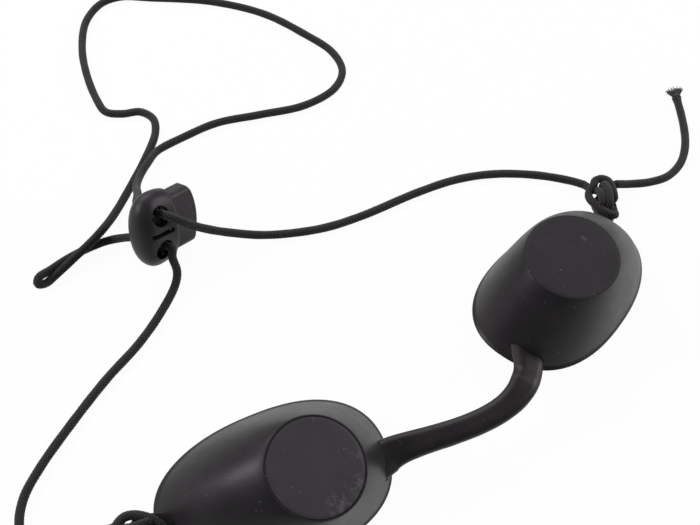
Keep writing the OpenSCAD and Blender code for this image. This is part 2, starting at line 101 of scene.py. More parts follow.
def shade(obj, sharp):
    obj.data.polygons.foreach_set("use_smooth", [True]*len(obj.data.polygons))
    obj.data.set_sharp_from_angle(angle=math.radians(sharp))
    obj.data.update()


def to_metres(obj):
    """Turns a mesh that was built in millimetres into metres."""
    obj.data.transform(((MM, 0, 0, 0), (0, MM, 0, 0), (0, 0, MM, 0), (0, 0, 0, 1)))
    obj.data.update()
    return obj


def ring_faces(rows, n, closed_rows=False):
    """Quads between neighbouring rings of n points each."""
    faces = []
    for j in range(rows if closed_rows else rows - 1):
        a, b = j*n, ((j + 1) % rows)*n
        faces += [(a + i, a + (i + 1) % n, b + (i + 1) % n, b + i) for i in range(n)]
    return faces


def loft(name, rings, sharp=40.0, closed=False):
    """A solid through rings of equally many points, capped at both ends unless it closes on itself."""
    n = len(rings[0])
    faces = ring_faces(len(rings), n, closed)
    if not closed:
        faces.append(tuple(range(n - 1, -1, -1)))
        faces.append(tuple((len(rings) - 1)*n + i for i in range(n)))
    return mesh_object(name, np.concatenate(rings), faces, sharp)


def outward(obj):
    """Turns every face of a closed mesh outwards."""
    bm = bmesh.new()
    bm.from_mesh(obj.data)
    bmesh.ops.recalc_face_normals(bm, faces=bm.faces)
    bm.to_mesh(obj.data)
    bm.free()
    obj.data.update()
    return obj


def apply_modifiers(obj):
    graph = bpy.context.evaluated_depsgraph_get()
    mesh = bpy.data.meshes.new_from_object(obj.evaluated_get(graph))
    obj.modifiers.clear()
    obj.data = mesh
    return obj


def combine(obj, other, operation):
    modifier = obj.modifiers.new("shape", "BOOLEAN")
    modifier.operation, modifier.object, modifier.solver = operation, other, "EXACT"
    apply_modifiers(obj)
    bpy.data.objects.remove(other)
    return obj


def soften(obj, voxel, factor, repeat):
    """Rounds every edge a little, as moulding does."""
    modifier = obj.modifiers.new("voxels", "REMESH")
    modifier.mode, modifier.voxel_size, modifier.use_smooth_shade = "VOXEL", voxel, True
    modifier = obj.modifiers.new("smooth", "SMOOTH")
    modifier.factor, modifier.iterations = factor, repeat
    return apply_modifiers(obj)


def unit(v):
    return np.asarray(v, float)/np.linalg.norm(v)


def distances(line):
    """How far each point of a line is along it."""
    return np.concatenate([[0], np.cumsum(np.linalg.norm(np.diff(line, axis=0), axis=1))])


def turn(rx, ry, rz):
    """A rotation about x, then y, then z, in degrees."""
    (a, b, c), (d, e, f) = np.cos(np.radians([rx, ry, rz])), np.sin(np.radians([rx, ry, rz]))
    x = np.array([[1, 0, 0], [0, a, -d], [0, d, a]])
    y = np.array([[b, 0, e], [0, 1, 0], [-e, 0, b]])
    z = np.array([[c, -f, 0], [f, c, 0], [0, 0, 1]])
    return z @ y @ x


# ---------------------------------------------------------------- the cord's routes, in millimetres
SHIFT = np.array([1.18, 1.37, 0.0])  # from the places as fitted to the photo to the shared frame
CORD = 2.0
LOCK_AT = np.array([-27.8, 65.3, 10.7]) + SHIFT
LOCK_TURN = turn(-19.2, 20.6, 12.4)
LOCK_THICK, LOCK_LENGTH, LOCK_FRONT, LOCK_BACK = 8.4, 17.5, 4.8, 5.3
HOLE, PITCH, TRAVEL = 4.7, 8.4, 2.5
PINCH = HOLE/2 - CORD/2 - 0.1  # where the cord lies at rest, between the body's and the button's holes


def lock_cord(y, z):
    """A point of the cord in the lock: z is 1 for one hole and -1 for the other."""
    return LOCK_TURN @ np.array([PINCH, y, z*PITCH/2]) + LOCK_AT


def laid(points):
    return [np.array(p, float) + SHIFT for p in points]


TAIL = laid([[71.2, 14.4, 2.4], [74.8, 12.8, 1.3], [78.8, 10.6, 1.1], [83.6, 9.1, 1.1], [88.6, 9.8, 1.1],
             [92.8, 12.1, 1.1], [96.4, 15.4, 1.1], [100.4, 20.5, 1.1], [103.4, 25.4, 1.6]])
RIGHT = laid([[65.3, 19.2, 1.8], [63.8, 22.4, 1.2], [58.4, 28.7, 1.1], [50.5, 35.1, 1.1], [42, 39.4, 1.1],
              [32, 42.1, 1.1], [17, 44.7, 1.1], [8, 47.2, 1.1], [0, 51, 1.2], [-6, 54.1, 2.2],
              [-11.5, 56.9, 4.6], [-16, 58.6, 7.8], [-20, 60, 11.6]])
RIGHT += [lock_cord(-LOCK_THICK/2 - 0.5, 1), lock_cord(0, 1)]
LOOP = [lock_cord(0.05, 1), lock_cord(LOCK_THICK/2 + 0.8, 1)]
LOOP += laid([[-24.6, 77.2, 8.6], [-22.6, 82, 5.2], [-19.4, 85.8, 3.3], [-16.2, 88, 2.8], [-12, 90.8, 1.4],
              [-4, 90.8, 1.1], [5, 89.6, 1.1], [15, 85.4, 1.1], [26, 81, 1.1], [35.4, 80.9, 1.1],
              [40.8, 84.6, 1.1], [42.6, 91.5, 1.1], [40.6, 101, 1.1], [36, 114, 1.1], [27, 126.5, 1.1],
              [15, 137.2, 1.1], [8.4, 142.6, 1.1], [3, 143.6, 1.1], [-3.5, 140.4, 1.1], [-9.2, 132.8, 1.1],
              [-13, 124, 1.1], [-15.4, 114.5, 1.1], [-15.6, 109.6, 1.1], [-12.6, 106.6, 1.1],
              [-8.6, 104.4, 1.1], [-7.2, 100.4, 1.1], [-9.2, 96.2, 1.1], [-14.5, 91.5, 1.1],
              [-22.5, 85.8, 1.1], [-30.5, 80.4, 1.6], [-35.6, 76.9, 3.4], [-39.8, 75.4, 3.4],
              [-44.5, 74.9, 2.2], [-50, 74.1, 1.1], [-53, 73.4, 1.3], [-54.6, 73.6, 2.4], [-53.7, 74.6, 2.9],
              [-50.3, 75.6, 1.8], [-46, 76.3, 1.2], [-40, 76.1, 1.1], [-34.6, 74.8, 1.2]])
LOOP += [lock_cord(LOCK_THICK/2 + 0.8, -1), lock_cord(0.05, -1)]
LEFT = [lock_cord(0, -1), lock_cord(-LOCK_THICK/2 - 0.5, -1)]
LEFT += laid([[-27, 58.8, 6.2], [-27.6, 56.4, 3.9], [-29.4, 54.8, 1.8], [-36, 50.8, 1.1], [-44, 47, 1.1],
              [-54.5, 43.6, 1.1], [-67, 38.4, 1.1], [-76, 34.1, 1.1], [-82, 30.2, 1.1], [-85.6, 25.4, 1.1],
              [-86.6, 19.6, 1.3], [-84.2, 13.4, 3.2], [-79.8, 10, 6.1], [-76.4, 8.6, 8]])


def smooth_route(points, step):
    """A centripetal curve through the points, with a point every step millimetres."""
    p = [np.asarray(q, float) for q in points]
    p = [2*p[0] - p[1]] + p + [2*p[-1] - p[-2]]
    fine = []
    for i in range(1, len(p) - 2):
        t = [0.0]
        for k in range(3):
            t.append(t[-1] + max(np.linalg.norm(p[i + k] - p[i + k - 1]), 1e-6)**0.5)
        for u in np.linspace(t[1], t[2], 24, endpoint=False):
            a = [((t[k + 1] - u)*p[i + k - 1] + (u - t[k])*p[i + k])/(t[k + 1] - t[k]) for k in range(3)]
            b = [((t[k + 2] - u)*a[k] + (u - t[k])*a[k + 1])/(t[k + 2] - t[k]) for k in range(2)]
            fine.append(((t[2] - u)*b[0] + (u - t[1])*b[1])/(t[2] - t[1]))
    fine = np.array(fine + [p[-2]])
    for _ in range(3):
        fine[1:-1] = fine[1:-1]*0.5 + (fine[:-2] + fine[2:])*0.25
    far = distances(fine)
    n = max(int(round(far[-1]/step)), 2)
    at = np.linspace(0, far[-1], n + 1)
    return np.stack([np.interp(at, far, fine[:, k]) for k in range(3)], 1)


def carried_frames(line):
    """Two directions across the line at each of its points, carried along without twist."""
    ways = np.gradient(line, axis=0)
    ways /= np.linalg.norm(ways, axis=1)[:, None]
    v = np.array([0.2, 0.1, 1.0])
    out = []
    for w in ways:
        v = unit(v - (v @ w)*w)
        out.append((v, np.cross(w, v)))
    return out


YARNS = 8          # yarns of the braid that run each way round
BRAID_PITCH = 6.0  # length of one turn of a yarn
BRAID_RISE, BRAID_SINK = 0.1, 0.07  # height of the yarns, and how deep the gaps between them lie
SIDES = 24         # points round a cord


def braid_height(s, a):
    """Height of the braid, 0 to 1, at length s and angle a: each yarn goes over one and under one."""
    p = YARNS*(s/BRAID_PITCH + a/(2*math.pi))
    q = YARNS*(s/BRAID_PITCH - a/(2*math.pi))
    over = (math.floor(p) + math.floor(q)) % 2
    one, other = (p % 1.0, q % 1.0) if over else (q % 1.0, p % 1.0)
    return (1 - (2*one - 1)**2)*(0.55 + 0.45*math.sin(math.pi*other))


def cord_tube(name, line, radius, seed):
    """A braided cord along line. radius is a number or a function of the share of the length."""
    far = distances(line)
    points, n, rows = [], SIDES, len(line)
    for i, (p, (u, v)) in enumerate(zip(line, carried_frames(line))):
        r0 = radius(i/(rows - 1)) if callable(radius) else radius
        wobble = 1 + 0.02*noise((far[i]*0.35, seed, 0.3))
        for k in range(n):
            a = 2*math.pi*k/n
            r = r0*wobble - BRAID_SINK + BRAID_RISE*braid_height(far[i], a)
            points.append(p + r*(math.cos(a)*u + math.sin(a)*v))
    faces, uv = [], []
    for j in range(rows - 1):
        for k in range(n):
            m = (k + 1) % n
            faces.append((j*n + k, j*n + m, (j + 1)*n + m, (j + 1)*n + k))
            s0, s1 = far[j]/BRAID_PITCH, far[j + 1]/BRAID_PITCH
            uv += [(s0, k/n), (s0, (k + 1)/n), (s1, (k + 1)/n), (s1, k/n)]
    base = len(points)
    points += [line[0], line[-1]]
    for k in range(n):
        m = (k + 1) % n
        faces.append((m, k, base))
        faces.append(((rows - 1)*n + k, (rows - 1)*n + m, base + 1))
        uv += [(0, k/n)]*3 + [(far[-1]/BRAID_PITCH, k/n)]*3
    return mesh_object(name, points, faces, 80, uv)


# ---------------------------------------------------------------- materials
def material(name, colour, roughness, specular):
    mat = bpy.data.materials.new(name)
    mat.use_nodes = True
    shader = mat.node_tree.nodes["Principled BSDF"]
    shader.inputs["Base Color"].default_value = (*colour, 1)
    shader.inputs["Roughness"].default_value = roughness
    shader.inputs["Specular IOR Level"].default_value = specular
    shader.inputs["Specular Tint"].default_value = (1.0, 0.93, 0.99, 1)
    return mat


class Graph:
    """Short names for making shader nodes."""

    def __init__(self, mat):
        self.tree = mat.node_tree
        self.shader = self.tree.nodes["Principled BSDF"]

    def node(self, kind, **values):
        made = self.tree.nodes.new("ShaderNode" + kind)
        for key, value in values.items():
            setattr(made, key, value)
        return made

    def link(self, a, b):
        self.tree.links.new(a, b)

    def coords(self):
        return self.node("TexCoord").outputs["Object"]

    def noise(self, scale, detail, rough, vector=None):
        made = self.node("TexNoise")
        made.inputs["Scale"].default_value = scale
        made.inputs["Detail"].default_value = detail
        made.inputs["Roughness"].default_value = rough
        self.link(vector or self.coords(), made.inputs["Vector"])
        return made.outputs["Fac"]

    def ramp(self, source, stops):
        """Stops are (place, grey level or colour)."""
        made = self.node("ValToRGB")
        elements = made.color_ramp.elements
        while len(elements) < len(stops):
            elements.new(0.5)
        for element, (place, value) in zip(elements, stops):
            element.position = place
            element.color = (*value, 1) if hasattr(value, "__len__") else (value, value, value, 1)
        self.link(source, made.inputs["Fac"])
        return made.outputs["Color"]

    def math(self, kind, a, b=None, c=None, clamp=False):
        made = self.node("Math", operation=kind, use_clamp=clamp)
        for i, value in enumerate((a, b, c)):
            if value is None:
                continue
            if isinstance(value, (int, float)):
                made.inputs[i].default_value = value
            else:
                self.link(value, made.inputs[i])
        return made.outputs[0]

    def product(self, a, b, c):
        return self.math("MULTIPLY", self.math("MULTIPLY", a, b), c)

    def mix(self, factor, a, b):
        made = self.node("Mix", data_type="RGBA")
        self.link(factor, made.inputs[0])
        for i, value in ((6, a), (7, b)):
            if hasattr(value, "is_linked"):
                self.link(value, made.inputs[i])
            else:
                made.inputs[i].default_value = (*value, 1)
        return made.outputs[2]

    def bump(self, height, strength, distance, normal=None):
        made = self.node("Bump")
        made.inputs["Strength"].default_value = strength
        made.inputs["Distance"].default_value = distance
        self.link(height, made.inputs["Height"])
        if normal is not None:
            self.link(normal, made.inputs["Normal"])
        return made.outputs["Normal"]


def moulded(name, dark, light, rough_low, rough_high, dust=0.0, grain=0.00002, scratches=0.35, scuffs=()):
    """Moulded plastic: a faint mottle, a fine grain, thin scratches, specks of dust and rubbed places.

    Each scuff is its place in millimetres, seen from above, its radius in millimetres and its strength.
    """
    mat = material(name, dark, (rough_low + rough_high)/2, 0.24)
    g = Graph(mat)
    mottle = g.noise(90, 3, 0.6)
    base = g.mix(g.ramp(mottle, [(0.35, 0.0), (0.7, 1.0)]), dark, light)
    long = g.node("Mapping")
    long.inputs["Scale"].default_value = (1.0, 0.08, 0.4)
    long.inputs["Rotation"].default_value = (0.0, 0.0, 0.6)
    g.link(g.coords(), long.inputs["Vector"])
    lines = g.ramp(g.noise(2600, 1, 0.4, long.outputs["Vector"]), [(0.70, 0.0), (0.76, 1.0)])
    worn = g.ramp(g.noise(160, 2, 0.5), [(0.5, 0.0), (0.68, 1.0)])
    marks = g.product(lines, worn, scratches)
    base = g.mix(marks, base, tuple(min(3.2*c + 0.03, 1) for c in light))
    if dust:
        cells = g.node("TexVoronoi", feature="F1")
        cells.inputs["Scale"].default_value = 700
        g.link(g.coords(), cells.inputs["Vector"])
        spot = g.ramp(cells.outputs["Distance"], [(0.06, 1.0), (0.11, 0.0)])
        few = g.ramp(g.noise(310, 0, 0.5), [(0.57, 0.0), (0.61, 1.0)])
        base = g.mix(g.product(spot, few, dust), base, (0.22, 0.21, 0.21))
    for where, reach, amount in scuffs:
        flat = g.node("VectorMath", operation="MULTIPLY")
        g.link(g.coords(), flat.inputs[0])
        flat.inputs[1].default_value = (1.0, 1.0, 0.0)
        away = g.node("VectorMath", operation="DISTANCE")
        g.link(flat.outputs["Vector"], away.inputs[0])
        away.inputs[1].default_value = tuple(c*MM for c in where)
        near = g.ramp(g.math("DIVIDE", away.outputs["Value"], reach*MM), [(0.35, 1.0), (1.0, 0.0)])
        rubbed = g.ramp(g.noise(900, 4, 0.7), [(0.5, 0.0), (0.6, 1.0)])
        base = g.mix(g.product(near, rubbed, amount), base, (0.085, 0.079, 0.083))
    g.link(base, g.shader.inputs["Base Color"])
    rough = g.math("MULTIPLY_ADD", g.noise(240, 3, 0.6), rough_high - rough_low, rough_low)
    g.link(g.math("ADD", rough, g.math("MULTIPLY", marks, 0.15)), g.shader.inputs["Roughness"])
    normal = g.bump(g.noise(5200, 2, 0.5), 0.35, grain)
    g.link(g.bump(g.noise(420, 2, 0.5), 0.25, 0.00008, normal), g.shader.inputs["Normal"])
    return mat


def braided(name):
    """Black elastic cord: crossed yarns as in braid_height, with a painted highlight on their tops and
    painted shade in the gaps.
    """
    mat = material(name, (0.02, 0.0185, 0.0205), 0.8, 0.16)
    g = Graph(mat)
    where = g.node("SeparateXYZ")
    g.link(g.node("UVMap", uv_map="route").outputs["UV"], where.inputs[0])
    s, a = where.outputs[0], where.outputs[1]
    p = g.math("MULTIPLY", g.math("ADD", s, a), float(YARNS))
    q = g.math("MULTIPLY", g.math("SUBTRACT", s, a), float(YARNS))
    both = g.math("ADD", g.math("FLOOR", p), g.math("FLOOR", q))
    over = g.math("MULTIPLY", g.math("FRACT", g.math("MULTIPLY", both, 0.5)), 2.0)
    fp, fq = g.math("FRACT", p), g.math("FRACT", q)

    def between(x, y):
        return g.math("ADD", g.math("MULTIPLY", over, x),
                      g.math("MULTIPLY", g.math("SUBTRACT", 1.0, over), y))

    one, other = between(fp, fq), between(fq, fp)
    edge = g.math("SUBTRACT", g.math("MULTIPLY", one, 2.0), 1.0)
    crown = g.math("SUBTRACT", 1.0, g.math("MULTIPLY", edge, edge))
    along = g.math("SINE", g.math("MULTIPLY", other, math.pi))
    height = g.math("MULTIPLY", crown, g.math("MULTIPLY_ADD", along, 0.45, 0.55))
    threads = g.math("SINE", g.math("MULTIPLY", one, 2*math.pi*5))  # five threads in a yarn
    fuzz = g.noise(3200, 3, 0.7)
    # Painted light and shade: the yarns' tops are painted lighter and the gaps between them darker, the way
    # light and shade fall on a braid; the fuzz adds tone that differs at random.
    gap_shade_and_fuzz = g.math("ADD", height, g.math("MULTIPLY", g.math("SUBTRACT", fuzz, 0.5), 0.9))
    colour = g.ramp(gap_shade_and_fuzz, [(0.15, (0.009, 0.0078, 0.0088)), (0.65, (0.018, 0.0159, 0.0176)),
                           (1.0, (0.052, 0.047, 0.051))])
    g.link(colour, g.shader.inputs["Base Color"])
    g.shader.inputs["Sheen Weight"].default_value = 0.16
    g.shader.inputs["Sheen Roughness"].default_value = 0.5
    normal = g.bump(height, 0.5, 0.0001)
    normal = g.bump(threads, 0.25, 0.00003, normal)
    g.link(g.bump(fuzz, 0.4, 0.00004, normal), g.shader.inputs["Normal"])
    return mat


def bare_rubber(name):
    """The pale strands inside the cord, where its end has frayed."""
    mat = material(name, (0.2, 0.19, 0.19), 0.8, 0.3)
    g = Graph(mat)
    g.link(g.ramp(g.noise(900, 2, 0.6), [(0.3, (0.03, 0.03, 0.032)), (0.75, (0.13, 0.12, 0.12))]),
           g.shader.inputs["Base Color"])
    g.link(g.bump(g.noise(4000, 2, 0.6), 0.4, 0.00003), g.shader.inputs["Normal"])
    return mat


def steel(name):
    mat = material(name, (0.55, 0.55, 0.57), 0.3, 0.5)
    g = Graph(mat)
    g.shader.inputs["Metallic"].default_value = 1.0
    g.link(g.ramp(g.noise(700, 2, 0.6), [(0.3, (0.42, 0.42, 0.44)), (0.7, (0.62, 0.62, 0.64))]),
           g.shader.inputs["Base Color"])
    g.link(g.math("MULTIPLY_ADD", g.noise(1500, 2, 0.5), 0.2, 0.22), g.shader.inputs["Roughness"])
    return mat


CUP_MAT = moulded("cup_plastic", (0.0105, 0.0092, 0.0103), (0.017, 0.015, 0.0165), 0.36, 0.5, dust=0.6)
DISC_MAT = moulded("disc_plastic", (0.018, 0.0163, 0.0176), (0.025, 0.023, 0.0247), 0.5, 0.62, dust=0.6,
                   scuffs=[((42.6, 0.8, 0.0), 1.2, 0.5)])
# The left disc's plastic: a copy of the disc plastic that is lighter all over, with rubbed places.
LIGHTER_SCUFFED_DISC_MAT = moulded("lighter_scuffed_disc_plastic", (0.033, 0.0296, 0.0335), (0.042, 0.038, 0.0428), 0.5, 0.62, dust=0.5,
                   scuffs=[((-24.9, -8.4, 0.0), 2.2, 0.6), ((-28.4, -13.0, 0.0), 3.0, 0.7),
                           ((-33.6, -14.4, 0.0), 3.2, 0.8)])
BRIDGE_MAT = moulded("bridge_vinyl", (0.0115, 0.0102, 0.011), (0.019, 0.0168, 0.018), 0.36, 0.52,
                     scratches=0.5)
LOCK_MAT = moulded("lock_plastic", (0.019, 0.0172, 0.0186), (0.027, 0.0246, 0.0266), 0.36, 0.48,
                   grain=0.00003)
BUTTON_MAT = moulded("button_plastic", (0.024, 0.0218, 0.0236), (0.033, 0.03, 0.0324), 0.42, 0.54,
                     grain=0.00003)
CORD_MAT = braided("cord_braid")
FRAY_MAT = bare_rubber("frayed_strands")
STEEL = steel("spring_steel")


def finish_piece(obj, mat):
    obj.data.materials.clear()
    obj.data.materials.append(mat)
    return obj


# ---------------------------------------------------------------- cords first
def declare(obj, **facts):
    return obj


RADIUS, KNOT_RADIUS = CORD/2, 0.97  # the cord is pulled a little thinner in a knot
STEP, KNOT_STEP = 0.4, 0.25
tail_line, right_line = smooth_route(TAIL, STEP), smooth_route(RIGHT, STEP)
loop_line, left_line = smooth_route(LOOP, STEP), smooth_route(LEFT, STEP)


def tail_radius(share):
    """The cord widens over the last twentieth of the tail, towards its frayed end."""
    return RADIUS*(1 + 0.22*max(0.0, (share - 0.95)/0.05)**1.5)


right_tail = cord_tube("cord_right_tail", tail_line, tail_radius, seed=1.0)
right_strand = cord_tube("cord_right_strand", right_line, RADIUS, seed=2.0)
back_loop = cord_tube("cord_back_loop", loop_line, RADIUS, seed=3.0)
left_strand = cord_tube("cord_left_strand", left_line, RADIUS, seed=4.0)

# How the cord runs in both knots: across, outwards and up from the middle of the lug's slot
KNOT_TURNS = [(-1.4, 3.7, 1.1), (-0.95, 2.4, 2.3), (-0.8, 0.8, 2.7), (-0.8, -0.9, 2.2), (-0.8, -1.2, 1.0),
              (-0.85, -0.5, -0.4), (-0.8, 0.5, -1.7), (-0.6, 1.9, -2.1), (-0.3, 3.8, -1.9), (0.1, 5.2, -0.9),
              (0.1, 5.6, 0.6), (0.3, 5.0, 1.9), (0.7, 3.2, 2.8), (0.85, 0.7, 3.0), (0.85, -1.0, 2.4),
              (0.9, -1.3, 1.1), (0.9, -0.6, -0.4), (1.1, 0.4, -1.7), (1.7, 0.9, -1.6), (2.2, 0.2, -0.8),
              (2.2, -1.6, 0.2), (2.15, -3.1, 0.9), (0.7, -3.2, 1.5), (-1.1, -2.0, 1.6), (-2.5, -0.3, 1.3),
              (-3.3, 1.2, 0.9), (-3.55, 2.8, 0.6), (-3.1, 4.0, 0.8), (-2.25, 5.2, 1.2), (-1.9, 6.4, 1.3),
              (-0.3, 7.2, 1.35), (1.3, 6.6, 1.3), (2.0, 5.0, 1.3), (2.3, 3.3, 1.3), (2.4, 1.8, 0.8),
              (1.7, 2.0, -0.4), (0.6, 3.6, -1.0), (0.4, 5.2, -1.4)]


def knot_line(origin, across, outwards, up, ahead, behind):
    """A knot's line, with its own way in and its own way out."""
    rows = ahead + KNOT_TURNS + behind
    points = [origin + a*across + b*outwards + c*up for a, b, c in rows]
    return smooth_route(points, KNOT_STEP)


right_slot = np.array([64.91, 12.42, 3.24])
knot = knot_line(right_slot, np.array([0.777, -0.628, 0.0]), np.array([0.628, 0.777, 0.0]),
                 np.array([0.0, 0.0, 1.0]), [(-4.1, 7.6, -1.6), (-3.3, 6.5, -1.1), (-2.3, 4.9, -0.1)],
                 [(1.5, 6.4, -1.5), (2.6, 7.1, -1.2), (3.4, 7.3, -1.0), (4.2, 7.4, -0.95)])
knot[:, 2] = np.maximum(knot[:, 2], 1.06)  # no lower than a cord that lies on the floor
right_knot = cord_tube("cord_right_knot", knot, KNOT_RADIUS, seed=5.0)


# Where the cups lie: 1 is the right cup, and -1 the left one, which is mirrored in x
CUP_TURN = {1: turn(0, 8.5, 14.3), -1: turn(15, -2.5, 14.3)}
CUP_MIDDLE = {1: np.array([79.6/2, 0, 3.677]), -1: np.array([79.6/2, 0, 4.308])}


def to_world(side, point):
    """From a cup's own place to the shared frame."""
    q = CUP_TURN[side] @ np.asarray(point, float) + CUP_MIDDLE[side]
    return np.array([side*q[0], q[1], q[2]]) + SHIFT


left_slot = to_world(-1, (27.3, 0.5, 3.4))
left_out = unit(to_world(-1, (28.3, 0.5, 3.4)) - left_slot)
left_up = unit(to_world(-1, (27.3, 0.5, 4.4)) - left_slot)
knot = knot_line(left_slot, np.cross(left_up, left_out), left_out, left_up,
                 [(0.1, 10.6, -1.2), (-1.2, 9.0, -1.0), (-2.4, 7.0, -0.8), (-2.2, 5.1, 0.2)],
                 [(1.7, 6.4, -1.5), (2.8, 7.9, -1.3), (3.3, 9.6, -1.3), (3.2, 11.0, -1.6)])
left_knot = cord_tube("cord_left_knot", knot, KNOT_RADIUS, seed=6.0)

# The frayed end: the cover's yarns splay out round the bare strands
end, way = tail_line[-1], unit(tail_line[-1] - tail_line[-3])
side_way = unit(np.cross(way, (0.0, 0.0, 1.0)))
up_way = np.cross(side_way, way)
FIBRES, FIBRE_SIDES = 300, 5
fibres, fibre_faces = [], []


def fibre(path, radius):
    """Adds one fibre, which thins towards its end."""
    base, n = len(fibres), FIBRE_SIDES
    for i, (p, (u, v)) in enumerate(zip(path, carried_frames(path))):
        r = radius*(1 - 0.65*(i/(len(path) - 1))**3)
        fibres.extend(p + r*(math.cos(2*math.pi*k/n)*u + math.sin(2*math.pi*k/n)*v) for k in range(n))
    rows = len(path)
    fibre_faces.extend(tuple(base + x for x in f) for f in ring_faces(rows, n))
    fibre_faces.append(tuple(base + k for k in range(n - 1, -1, -1)))
    fibre_faces.append(tuple(base + (rows - 1)*n + k for k in range(n)))


for _ in range(FIBRES):
    a = rng.uniform(0, 2*math.pi)
    start = rng.uniform(0.15, 0.95)**0.6
    length = rng.uniform(1.5, 2.7)*(0.8 if start < 0.5 else 1)
    spread = start*rng.uniform(0.6, 1.25)
    swirl = rng.uniform(-0.5, 0.5)
    path = []
    for t in np.linspace(-0.3, 1, 9):
        out = start*0.85 + spread*max(t, 0)**1.5*length*0.62
        b = a + swirl*t
        p = end + way*t*length + out*(math.cos(b)*side_way + 0.75*math.sin(b)*up_way)
        p[2] = max(p[2], 0.12)  # above the floor
        path.append(p)
    fibre(np.array(path), rng.uniform(0.06, 0.12))
frayed_end = mesh_object("cord_frayed_end", fibres, fibre_faces, 80)

for piece, mat in ((right_tail, CORD_MAT), (right_strand, CORD_MAT), (back_loop, CORD_MAT),
                   (left_strand, CORD_MAT), (right_knot, CORD_MAT), (left_knot, CORD_MAT),
                   (frayed_end, FRAY_MAT)):
    finish_piece(to_metres(piece), mat)

declare(right_strand, exit=RIGHT[0]*MM, length=0.111, far_end="object", path=right_line*MM,
        with_pieces=[right_knot])
declare(right_tail, exit=TAIL[0]*MM, length=0.040, far_end="bare", path=tail_line*MM,
        with_pieces=[frayed_end])
declare(back_loop, exit=LOOP[0]*MM, length=0.310, far_end="object", path=loop_line*MM)
declare(left_strand, exit=LEFT[0]*MM, length=0.102, far_end="knot", path=left_line*MM,
        with_pieces=[left_knot])


# ---------------------------------------------------------------- eye cups, in a cup's own place
LENGTH, WIDTH, HEIGHT, WALL = 49.4, 30.4, 18.4, 1.4
TO_NOSE, TO_BROW, TILT, LEAN = 6.4, 1.6, 9.0, 3.0  # how far the crown is off the middle, and its slopes
DISC_R, DISC_H, PROUD, GAP = 9.75, 1.7, 0.15, 0.18
SEAT_R = DISC_R + GAP
CROWN_R = SEAT_R + 0.55
SEAT_DEPTH = DISC_H - PROUD
ROOF = SEAT_DEPTH + 1.2
LEDGE = 1.6
SQUARE, EGG, CURVE = 2.3, 0.08, 1.1  # how square the rim is, how egg-shaped, and how the wall bulges
FLARE_OUT, FLARE_H = 0.35, 1.085     # the rim's flare
ROUND = 168                          # points in a ring
ANGLES = np.arange(ROUND)*2*math.pi/ROUND


def rim_ring(grow):
    """The outline of the rim, seen from above."""
    c, s = np.cos(ANGLES), np.sin(ANGLES)
    size = (np.abs(c)**SQUARE + np.abs(s)**SQUARE)**(-1/SQUARE)
    return np.stack([(LENGTH/2 + grow)*c*size, (WIDTH/2 + grow)*s*size*(1 - EGG*c*size)], 1)


def crown_ring(r):
    """The outline of a circle on the sloping crown, seen from above."""
    return np.stack([r*np.cos(ANGLES)*math.cos(math.radians(TILT)) - TO_NOSE,
                     r*np.sin(ANGLES)*math.cos(math.radians(LEAN)) - TO_BROW], 1)


def wall_ring(f, grow, r, drop):
    """A ring of the wall, from the rim at f = 0 degrees to the crown, drop below its top, at 90."""
    f = math.radians(f)
    w, v = max(math.cos(f), 0)**(2/CURVE), math.sin(f)**(2/CURVE)
    p = crown_ring(r)*(1 - w) + rim_ring(grow)*w
    z = (HEIGHT - drop + math.tan(math.radians(TILT))*(p[:, 0] + TO_NOSE)
         + math.tan(math.radians(LEAN))*(p[:, 1] + TO_BROW))
    return np.column_stack([p, v*z])


def rise_angle(z):
    """The f of the ring that is z above the rim."""
    return math.degrees(math.asin((z/HEIGHT)**(CURVE/2)))


CROWN_TURN = turn(0, -TILT, 0) @ turn(LEAN, 0, 0)


def seat_ring(r, depth):
    """A circle in the crown's own plane, depth below it."""
    flat = np.stack([r*np.cos(ANGLES), r*np.sin(ANGLES), np.full(ROUND, -depth)], 1)
    return flat @ CROWN_TURN.T + np.array([-TO_NOSE, -TO_BROW, HEIGHT])


def cup_rings(seat, lip, crown):
    """Once round the cup's section: up the outside, down the seat, and back under the crown to the rim.

    seat and crown are radii, and lip is how wide the seat's edge is rounded.
    """
    rows = [wall_ring(0, 0.9*FLARE_OUT, crown, 0)]
    for k in range(1, 10):
        share = k/9
        out = FLARE_OUT*0.5*(1 + math.cos(math.pi*share))
        rows.append(wall_ring(rise_angle(FLARE_H*share), out, crown, 0))
    first = rise_angle(FLARE_H)
    rows += [wall_ring(first + (88.4 - first)*k/40, 0, crown, 0) for k in range(1, 41)]
    rows += [seat_ring(crown - 0.16, 0.015), seat_ring(seat + lip, 0.0), seat_ring(seat + 0.3*lip, 0.2*lip),
             seat_ring(seat, 0.75*lip), seat_ring(seat, SEAT_DEPTH - 0.05),
             seat_ring(seat - 0.05, SEAT_DEPTH), seat_ring(SEAT_R - LEDGE + 0.1, SEAT_DEPTH),
             seat_ring(SEAT_R - LEDGE, SEAT_DEPTH + 0.1), seat_ring(SEAT_R - LEDGE, ROOF - 0.1),
             seat_ring(SEAT_R - LEDGE + 0.1, ROOF)]
    inner = CROWN_R - WALL
    rows += [wall_ring(89 - 88.5*k/26, -WALL, inner, ROOF) for k in range(27)]
    rows += [wall_ring(0, -WALL + 0.15, CROWN_R, 0), wall_ring(0, -WALL/2, CROWN_R, 0)]
    return rows


# The lugs: 1 is the right one, -1 the left one
LUG_AT = {1: (25.7, 4.8), -1: (27.3, 0.5)}  # the middle of the slot
LUG_HEADING = {1: 37, -1: 0}                # degrees
LUG_ROOT = {1: 5.6, -1: 6.1}                # how far the plate goes back into the cup's wall
LUG_R, LUG_NECK, LUG_RISE, LUG_THICK, LUG_EDGE = 3.0, 1.9, 2.7, 1.4, 0.3
SLOT_R, SLOT_HALF = 1.1, 0.7


